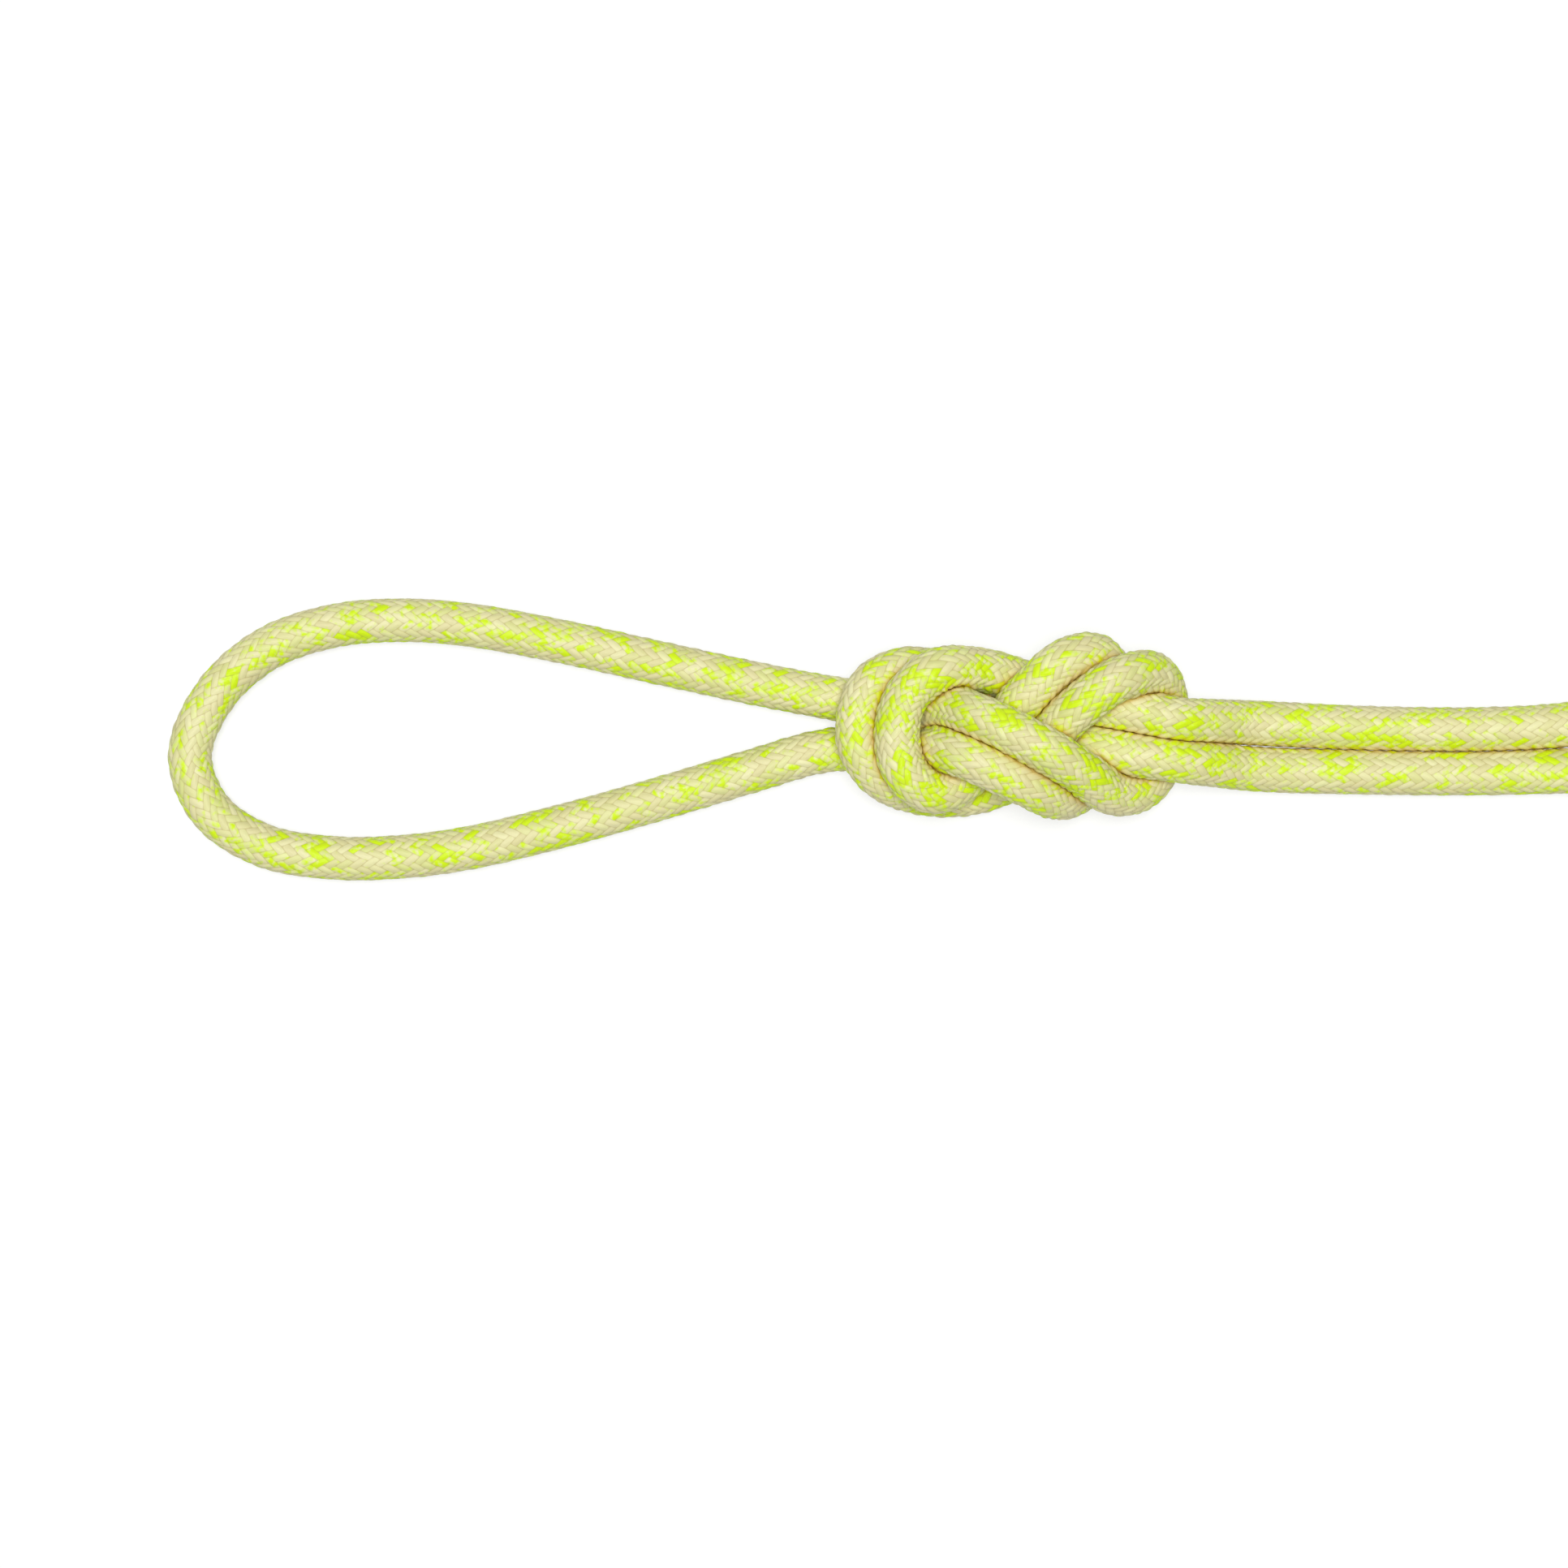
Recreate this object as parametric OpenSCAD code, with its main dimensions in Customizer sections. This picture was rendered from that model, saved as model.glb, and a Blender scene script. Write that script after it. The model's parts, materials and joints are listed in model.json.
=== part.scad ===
// Dynamic climbing rope, 9.5 mm, 30 m, tied with a figure-eight loop.
// A kernmantle rope: a braided sheath over a core of twelve strands. One end is doubled into
// a figure-eight loop, and the rest is put away in a hank with a strap round its waist.
// +X runs from the loop to the hank, +Z is up, and the rope lies on z = 0.

/* [Rope] */
// Diameter of the rope
rope_d = 9.5; // [9.2:0.1:9.8]
// Wall of the braided sheath
sheath_t = 1.15; // [0.9:0.05:1.3]
// How much thinner the rope is where the drawn-up knot squeezes it
squeeze = 1.2; // [1.1:0.05:1.6]
// Room between the sheath and the core inside it
core_room = 0.05; // [0.03:0.01:0.1]

/* [Rope ends] */
// Length of the sleeve shrunk onto each end
sleeve_l = 24; // [20:1:24]
// Wall of the end sleeve
sleeve_t = 0.5; // [0.3:0.05:0.5]
// Room between the sleeve and the rope
sleeve_room = 0.05; // [0.03:0.01:0.06]
// Thickness of the melted cap that seals each end
cap_t = 1.6; // [1.2:0.1:2.4]

/* [Hank] */
// Straight run between the two folds
run_l = 185; // [180:1:190]
// Radius of the innermost fold
fold_r = 30; // [29:0.5:31]
// Layers from the bottom to the top
layers = 12; // [6:1:12]
// Gap between two turns side by side
turn_gap = 1; // [1:0.05:1.2]
// Gap between two layers
layer_gap = 0.7; // [0.7:0.05:1]
// How far the strap draws each run in at the waist
waist_in = 14; // [10:0.5:14]
// Room between the winding and the plain heart inside it
heart_room = 0.5; // [0.4:0.05:0.8]
// Gap between the tail's end and the hank
hank_gap = 4; // [3:0.5:8]

/* [Strap] */
// Width of the strap
strap_w = 25; // [20:1:30]
// Thickness of the strap
strap_t = 1.5; // [1.2:0.1:1.8]
// Inner radius of the strap where it turns round the bundle
strap_r = 6; // [4:0.5:6]
// Room between the strap and the bundle
strap_room = 0.4; // [0.3:0.05:0.6]
// Length of the overlap that closes the strap
closure_l = 48; // [40:1:60]

/* [Hidden] */

sheath_colour = "#d7d697";
core_colour = "#f2f1ea";
sleeve_colour = "#303436";
cap_colour = "#b9b58a";
strap_colour = "#3a3f42";

rope_sides = 10;         // sides of the rope where it lies free
hank_sides = 6;          // sides of the rope in the hank
run_rings = 5;           // rings along one run of the hank
fold_rings = 7;          // rings round one fold
loop_rings = 2 * (run_rings + fold_rings);
knot_ring_gap = 5.6;     // distance between rings in the knot
free_ring_gap = 21;      // distance between rings elsewhere
squeeze_rings = 4;       // rings over which the squeeze comes on

rope_r = rope_d / 2;
flat_cut = rope_d / 10;          // depth of the flat where the rope lies on the ground
lie_z = rope_r - flat_cut;       // height of its middle there
sleeve_r = rope_r + sleeve_room + sleeve_t;

// Core strands: nine round three, packed inside the sheath's bore
outer_strands = 9;
inner_strands = 3;
bore_in_r = (rope_r - sheath_t) * cos(180 / rope_sides);
strand_d = 0.48 * bore_in_r;
strand_room = 0.03;
outer_strand_at = bore_in_r - strand_room - strand_d / 2;
inner_strand_at = (strand_d + strand_room) / sqrt(3);

// The rope's middle, from the tail's end to the hank, as [x, y, z] points for a 9.5 mm rope.
// x starts at the outer edge of the eye's tip, y at the middle of the eye.
route_rope_d = 9.5;
route_scale = rope_d / route_rope_d;
tail_points = [
    [341, -7, 5.5], [319, -7, 5.5], [303, -7.2, 4.4], [289, -7.5, 3.8], [274, -7.5, 3.8],
    [259, -7.3, 3.8]
];
tail_pass_points = [
    [245, -7, 4], [236, -6.5, 5.3], [228, -5.6, 9.5], [220, -4.7, 13], [211, -3.2, 13.4],
    [202.5, -1.6, 11.7], [195, 0.2, 5.5], [186.5, 3.4, 4], [178, 8, 4], [170, 14, 5],
    [161.5, 15.3, 9.7], [154.3, 12, 12.5], [151.3, 5.7, 13.4], [151.5, -2, 13.5],
    [156, -8.2, 10.5], [163.5, -11.5, 5], [172.5, -12.3, 4], [181.5, -10.3, 5.3],
    [188.5, -4.8, 11], [193.5, 1.5, 16], [200, 7.8, 20], [207.5, 13, 19.3],
    [215.2, 14.2, 12.5], [218.7, 9, 5.7], [218.7, 1, 4], [217, -6.5, 4.2],
    [212.5, -11.2, 7.7], [206, -11.7, 13], [199, -7, 20], [192, -2.8, 24], [184, 1.5, 24],
    [176.5, 5, 21], [171.2, 6.8, 14.5], [166, 6.3, 8.2], [160.5, 7, 4.5], [152, 8.2, 4]
];
eye_points = [
    [142.5, 9.6, 4], [128.5, 12.3, 3.8], [107.5, 16.8, 3.8], [86, 21.5, 3.8], [65, 25.2, 3.8],
    [50.5, 26.1, 3.8], [36.5, 24.9, 3.8], [22, 20, 3.8], [10.5, 10, 3.8], [4.8, -3.5, 3.8],
    [9.3, -15.5, 3.8], [21, -23.3, 3.8], [36.5, -26, 3.8], [50.5, -25.8, 3.8],
    [65, -24, 3.8], [86, -19.1, 3.8], [107.5, -13.1, 3.8], [128.5, -6.8, 3.8]
];
standing_pass_points = [
    [142.5, -2.8, 4], [152, -2, 4], [160.5, -1.9, 4.5], [165.5, -2.6, 8.5], [168.8, -2, 15],
    [173.8, -3.8, 20.5], [181, -7, 21.5], [188, -10.3, 19.5], [193.5, -12.7, 14],
    [198.5, -12, 7.5], [204, -7.4, 4], [208, -0.4, 4], [209.2, 7.4, 4], [207, 14.2, 7],
    [202.3, 18.3, 13], [195.5, 16.8, 17], [189.5, 11.5, 16.5], [184, 5, 14],
    [179, -2, 11.3], [174.2, -8.8, 12], [167.5, -11.5, 15], [161.3, -7.3, 18],
    [159.5, 1, 18.3], [161.8, 9.5, 18.5], [168, 14.8, 18], [177, 15.2, 12.7], [186, 13, 7.5],
    [194.5, 10.2, 7], [203, 7.3, 11.5], [211.5, 5.8, 13.7], [220, 4.3, 13.5],
    [228, 4, 9.8], [236, 3.8, 5.3]
];
standing_points = [
    [245, 3.4, 4], [259, 2.7, 3.8], [274, 2.3, 3.8], [289, 2.3, 3.8], [303, 3, 3.8],
    [316, 4.8, 3.8], [328, 9, 3.8], [338.5, 16.5, 3.8], [348.5, 26.5, 3.8],
    [359, 37, 3.8], [371, 45.5, 3.8]
];
route_y = 10;                    // how far the eye's middle lies to the side of the hank's

// Where the hank's turns lie
turns_across = 3;
turn_step = rope_d + turn_gap;
layer_step = rope_d + layer_gap;
outer_fold_r = fold_r + turns_across * turn_step;
hank_half_w = outer_fold_r + rope_r;
hank_l = run_l + 2 * hank_half_w;
outer_turns = layers - 2;        // turns down the outer wall, one to a layer
inner_turns = min(8, outer_turns);   // turns up the inner wall, which rise faster if fewer
inner_rise = outer_turns / inner_turns;
top_start = turns_across + inner_turns;
down_start = top_start + turns_across;
all_turns = down_start + outer_turns;
far_end_ring = loop_rings / 2 + run_rings - 1;   // ring of the last turn where the rope ends
waist_share = waist(run_l / run_rings / 2);      // share of the waist under the strap
waist_up = (strap_t + flat_cut + strap_room) / waist_share;
hank_top = lie_z + (layers - 1) * layer_step + rope_r + waist_up;

// Where the route and the hank lie in the part's frame
total_l = tail_points[0].x * route_scale + cap_t + hank_gap + hank_l;
route_at = [-total_l / 2, route_y, 0];
hank_x = (total_l - hank_l) / 2;
join = [hank_x - run_l / 2 - rope_d, outer_fold_r, lie_z];
tail_end = tail_points[0] * route_scale + route_at;
core_end = tail_points[1] * route_scale + route_at;

function unit(v) = v / norm(v);

// A point on the smooth curve through b and c, with a before and d after them. Each stretch
// lasts as long as the root of its length, so an uneven spacing makes no loops.
function between(a, b, c, d, u) =
    let (
        t1 = sqrt(norm(b - a)),
        t2 = t1 + sqrt(norm(c - b)),
        t3 = t2 + sqrt(norm(d - c)),
        t = t1 + u * (t2 - t1),
        ab = (a * (t1 - t) + b * t) / t1,
        bc = (b * (t2 - t) + c * (t - t1)) / (t2 - t1),
        cd = (c * (t3 - t) + d * (t - t2)) / (t3 - t2),
        abc = (ab * (t2 - t) + bc * t) / t2,
        bcd = (bc * (t3 - t) + cd * (t - t1)) / (t3 - t1)
    )
    (abc * (t2 - t) + bcd * (t - t1)) / (t2 - t1);

// Rings from chosen point `from` to just before chosen point `to`
function stations(p, from, to, ring_gap) = [
    for (i = [from:to - 1])
        let (
            a = i > 0 ? p[i - 1] : 2 * p[0] - p[1],
            d = i + 2 < len(p) ? p[i + 2] : 2 * p[i + 1] - p[i],
            steps = max(1, round(norm(p[i + 1] - p[i]) / ring_gap))
        )
        for (k = [0:steps - 1]) between(a, p[i], p[i + 1], d, k / steps)
];

route = concat(
    [for (p = concat(tail_points, tail_pass_points, eye_points, standing_pass_points,
        standing_points)) p * route_scale + route_at],
    [join - [2 * rope_d, 0, 0], join - [rope_d, 0, 0], join]
);
stretch_at = [
    0,
    len(tail_points),
    len(tail_points) + len(tail_pass_points),
    len(tail_points) + len(tail_pass_points) + len(eye_points),
    len(tail_points) + len(tail_pass_points) + len(eye_points) + len(standing_pass_points),
    len(route) - 1
];
stretches = [
    for (k = [0:4])
        stations(route, stretch_at[k], stretch_at[k + 1], k % 2 == 1 ? knot_ring_gap : free_ring_gap)
];
middles = concat(stretches[0], stretches[1], stretches[2], stretches[3], stretches[4], [join]);
ring_at = [for (k = 0, n = 0; k < 6; n = n + (k < 5 ? len(stretches[k]) : 0), k = k + 1) n];

function directions(p) = [
    for (i = [0:len(p) - 1]) unit(p[min(i + 1, len(p) - 1)] - p[max(i - 1, 0)])
];
function square_to(v, t) = unit(v - (v * t) * t);

ahead = directions(middles);
// Each ring's side direction is the one before it, carried on without twist
sideways = [
    for (i = 0, n = square_to([0, 1, 0], ahead[0]);
        i < len(middles);
        i = i + 1, n = square_to(n, ahead[min(i, len(middles) - 1)])) n
];

// How much of the squeeze a ring of the knot has
function squeezed(i) =
    i > ring_at[1] && i < ring_at[2] ? min(1, min(i - ring_at[1], ring_at[2] - i) / squeeze_rings)
    : i > ring_at[3] && i < ring_at[4]
        ? min(1, min(i - ring_at[3], ring_at[4] - i) / squeeze_rings)
        : 0;
ring_r = [for (i = [0:len(middles) - 1]) rope_r - squeeze / 2 * squeezed(i)];

// One ring of points round c, cut flat at height `floor_z`
function ring(c, t, side, r, sides, floor_z) =
    let (up = cross(t, side))
    [
        for (k = [0:sides - 1])
            let (v = c + r * (cos(360 * k / sides) * side + sin(360 * k / sides) * up))
            [v.x, v.y, max(v.z, floor_z)]
    ];

// Faces of the wall through `count` rings of n points, whose first point has number `at`
function wall_faces(count, n, at, outward) = [
    for (i = [0:count - 2], k = [0:n - 1])
        let (
            a = at + i * n + k,
            b = at + i * n + (k + 1) % n,
            c = b + n,
            d = a + n
        )
        each outward ? [[a, d, c], [a, c, b]] : [[a, c, d], [a, b, c]]
];

// Closed tube through rings of n points
module solid_tube(rings) {
    n = len(rings[0]);
    last = (len(rings) - 1) * n;
    polyhedron(
        points = [for (r = rings) each r],
        faces = concat(
            wall_faces(len(rings), n, 0, true),
            [for (k = [1:n - 2]) [0, k, k + 1]],
            [for (k = [1:n - 2]) [last, last + k + 1, last + k]]
        ),
        convexity = 10
    );
}

// Tube with a bore; both have the same number of rings and points
module hollow_tube(rings, bore) {
    n = len(rings[0]);
    last = (len(rings) - 1) * n;
    at = len(rings) * n;
    polyhedron(
        points = concat([for (r = rings) each r], [for (r = bore) each r]),
        faces = concat(
            wall_faces(len(rings), n, 0, true),
            wall_faces(len(rings), n, at, false),
            [for (k = [0:n - 1]) each [
                [k, (k + 1) % n, at + (k + 1) % n],
                [k, at + (k + 1) % n, at + k]
            ]],
            [for (k = [0:n - 1]) each [
                [last + k, at + last + (k + 1) % n, last + (k + 1) % n],
                [last + k, at + last + k, at + last + (k + 1) % n]
            ]]
        ),
        convexity = 10
    );
}

function rope_rings(from, to, thinner, floor_z) = [
    for (i = [from:to])
        ring(middles[i], ahead[i], sideways[i], ring_r[i] - thinner, rope_sides, floor_z)
];

// Sheath of stretch k, from its first ring to the first ring of the next stretch
module sheath(k) {
    color(sheath_colour)
        hollow_tube(
            rope_rings(ring_at[k], ring_at[k + 1], 0, 0),
            rope_rings(ring_at[k], ring_at[k + 1], sheath_t, sheath_t)
        );
}

// Core of stretch k, leaving out `skip` rings at its start
module core(k, skip = 0) {
    color(core_colour)
        solid_tube(rope_rings(
            ring_at[k] + skip, ring_at[k + 1], sheath_t + core_room, sheath_t + core_room
        ));
}

module tail_sheath() sheath(0);
module tail_core() core(0, 1);
module knot_tail_pass_sheath() sheath(1);
module knot_tail_pass_core() core(1);
module eye_sheath() sheath(2);
module eye_core() core(2);
module knot_standing_pass_sheath() sheath(3);
module knot_standing_pass_core() core(3);
module standing_sheath() sheath(4);
module standing_core() core(4);

// Core strand `at` from the rope's middle and `turn` round it, behind the sealed tail
module core_strand(at, turn) {
    color(core_colour)
        translate(core_end + [0, at * cos(turn), at * sin(turn)])
            rotate([0, 90, 0])
                cylinder(d = strand_d, h = tail_end.x - core_end.x, $fn = 16);
}

module outer_strand(i) core_strand(outer_strand_at, 360 / outer_strands * i);
module inner_strand(i) core_strand(inner_strand_at, 360 / inner_strands * i + 20);
module core_strand_01() outer_strand(0);
module core_strand_02() outer_strand(1);
module core_strand_03() outer_strand(2);
module core_strand_04() outer_strand(3);
module core_strand_05() outer_strand(4);
module core_strand_06() outer_strand(5);
module core_strand_07() outer_strand(6);
module core_strand_08() outer_strand(7);
module core_strand_09() outer_strand(8);
module core_strand_10() inner_strand(0);
module core_strand_11() inner_strand(1);
module core_strand_12() inner_strand(2);

// Melted cap over the cut end: a flat disc with its edge rounded over
module sealed_end() {
    color(cap_colour)
        rotate_extrude($fn = 32)
            intersection() {
                square([rope_r, cap_t]);
                hull() {
                    square([0.01, cap_t]);
                    translate([rope_r - cap_t, 0]) circle(r = cap_t, $fn = 24);
                }
            }
}

// Plain sleeve shrunk onto the last stretch of the rope, along -Z from its end
module end_sleeve() {
    color(sleeve_colour)
        translate([0, 0, -sleeve_l])
            difference() {
                cylinder(r = sleeve_r, h = sleeve_l, $fn = 32);
                translate([0, 0, -1]) cylinder(r = rope_r + sleeve_room, h = sleeve_l + 2, $fn = 32);
            }
}

module tail_sealed_end() translate(tail_end) rotate([0, 90, 0]) sealed_end();
module tail_sleeve() translate(tail_end) rotate([0, 90, 0]) end_sleeve();

// Share of the waist at x from the middle of a run: 1 in the middle, 0 at the folds
function waist(x) = abs(x) < run_l / 2 ? (1 + cos(360 * x / run_l)) / 2 : 0;

// Distance of turn u from the hank's middle line. It winds in across the bottom, up the inner
// wall, out across the top once it has climbed there, and down the outer wall.
function fold_at(u) =
    u < turns_across ? outer_fold_r - turn_step * u
    : u < top_start + 0.25 ? fold_r
    : u < down_start
        ? fold_r + (outer_fold_r - fold_r) * (u - top_start - 0.25) / (turns_across - 0.25)
        : outer_fold_r;

// Layer that turn u has reached: each turn of a wall climbs or drops along its first run
function layer_at(u) =
    let (whole = floor(u), climb = min(1, (u - floor(u)) * 4))
    whole < turns_across ? 0
    : whole < top_start ? (whole - turns_across + climb) * inner_rise
    : whole < down_start ? min(layers - 1, layers - 2 + climb + whole - top_start)
    : layers - 1 - (whole - down_start) - climb;

// A point at share s of a turn: run, fold, run back, fold. It lies at fold radius rho and at
// height z, drawn in and lifted at the waist.
function turn_point(s, rho, z) =
    let (
        x = run_l * (s < 0.5 ? 4 * s - 0.5 : 2.5 - 4 * s),
        a = s < 0.5 ? 270 - 720 * s : 450 - 720 * s
    )
    s < 0.25 ? [x, rho - waist_in * waist(x), z + waist_up * waist(x)]
    : s < 0.5 ? [run_l / 2 + rho * cos(a), rho * sin(a), z]
    : s < 0.75 ? [x, waist_in * waist(x) - rho, z + waist_up * waist(x)]
    : [rho * cos(a) - run_l / 2, rho * sin(a), z];

function hank_point(u) =
    [hank_x, 0, lie_z] + turn_point(u - floor(u), fold_at(u), layer_at(u) * layer_step);

// Turns passed at ring k: a fold's rings lie closer than a run's
function turns_at(k) =
    let (half = floor(k * 2 / loop_rings), ring = k - half * loop_rings / 2)
    half / 2 + (ring < run_rings ? ring / run_rings : 1 + (ring - run_rings) / fold_rings) / 4;

wound = [
    for (k = [0:(all_turns - 1) * loop_rings + far_end_ring]) hank_point(turns_at(k))
];
far_dir = unit(wound[len(wound) - 1] - wound[len(wound) - 2]);
far_end = wound[len(wound) - 1] + rope_d * far_dir;
hank_middles = concat([join], wound, [far_end]);

// The winding: each ring stands square to its way
module hank_winding() {
    way = directions(hank_middles);
    color(sheath_colour)
        solid_tube([
            for (i = [0:len(hank_middles) - 1])
                ring(hank_middles[i], way[i], unit(cross([0, 0, 1], way[i])), rope_r, hank_sides, 0)
        ]);
}

// Plain solid for the turns that lie inside the winding
module hank_heart() {
    in_r = fold_r + rope_r + heart_room;
    out_r = outer_fold_r - rope_r - heart_room;
    low = rope_r + heart_room;
    high = (layers - 1) * layer_step - rope_r - heart_room;
    corners = [[in_r, low], [in_r, high], [out_r, high], [out_r, low]];
    n = len(corners);
    color(core_colour)
        polyhedron(
            points = [
                for (i = [0:loop_rings - 1], c = corners)
                    [hank_x, 0, lie_z] + turn_point(turns_at(i), c[0], c[1])
            ],
            faces = [
                for (i = [0:loop_rings - 1], k = [0:n - 1])
                    let (
                        j = (i + 1) % loop_rings,
                        a = i * n + k,
                        b = i * n + (k + 1) % n,
                        c = j * n + (k + 1) % n,
                        d = j * n + k
                    )
                    each [[a, d, c], [a, c, b]]
            ],
            convexity = 10
        );
}

module far_end_at_hank() {
    translate(far_end)
        rotate([0, acos(far_dir.z), atan2(far_dir.y, far_dir.x)])
            children();
}

module far_sealed_end() far_end_at_hank() sealed_end();
module far_sleeve() far_end_at_hank() end_sleeve();

// The strap: a flat band, closed round the waist, that the hank rests on
strap_half_w = hank_half_w - waist_in * waist_share + strap_room;
strap_top = hank_top + strap_room;

module strap_outline(grown) {
    offset(r = strap_r + grown)
        translate([strap_r - strap_half_w, strap_t + strap_r])
            square([2 * (strap_half_w - strap_r), strap_top - strap_t - 2 * strap_r]);
}

// Stands a shape drawn in the hank's cross-section across the strap's width
module across_strap() {
    translate([hank_x - strap_w / 2, 0, 0])
        rotate([90, 0, 90])
            linear_extrude(strap_w) children();
}

module hank_strap() {
    color(strap_colour)
        across_strap()
            difference() {
                strap_outline(strap_t);
                strap_outline(0);
            }
}

// The strap's end, laid over its top and pressed down on it
module strap_closure() {
    color(strap_colour)
        translate([hank_x, 0, strap_top + strap_t])
            linear_extrude(strap_t)
                square([strap_w, closure_l], center = true);
}

function gap_to(p, a, b) =
    let (u = max(0, min(1, (p - a) * (b - a) / ((b - a) * (b - a)))))
    norm(p - a - u * (b - a));

hank_gap_least = min([
    for (i = [0:len(hank_middles) - 1], j = [i + loop_rings / 2:1:len(hank_middles) - 2])
        gap_to(hank_middles[i], hank_middles[j], hank_middles[j + 1])
]) - rope_d;
knot_gap_least = min([
    for (i = [ring_at[1]:ring_at[4]], j = [i + 6:1:ring_at[4] - 1])
        gap_to(middles[i], middles[j], middles[j + 1]) - ring_r[i] - ring_r[j]
]);
echo(str("Least gap of the hank to itself: ", hank_gap_least, " mm"));
echo(str("Least gap of the knot to itself: ", knot_gap_least, " mm"));
echo(str("Rings in the free rope: ", len(middles), ", in the hank: ", len(hank_middles)));

tail_sheath();
tail_core();
knot_tail_pass_sheath();
knot_tail_pass_core();
eye_sheath();
eye_core();
knot_standing_pass_sheath();
knot_standing_pass_core();
standing_sheath();
standing_core();
core_strand_01();
core_strand_02();
core_strand_03();
core_strand_04();
core_strand_05();
core_strand_06();
core_strand_07();
core_strand_08();
core_strand_09();
core_strand_10();
core_strand_11();
core_strand_12();
tail_sealed_end();
tail_sleeve();
far_sealed_end();
far_sleeve();
hank_winding();
hank_heart();
hank_strap();
strap_closure();
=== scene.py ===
# Dynamic climbing rope, 9.5 mm, with a figure-eight loop tied in one end and the rest put away
# in a hank. Everything is in metres, in the frame of the CAD model.
import json
import math

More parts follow.
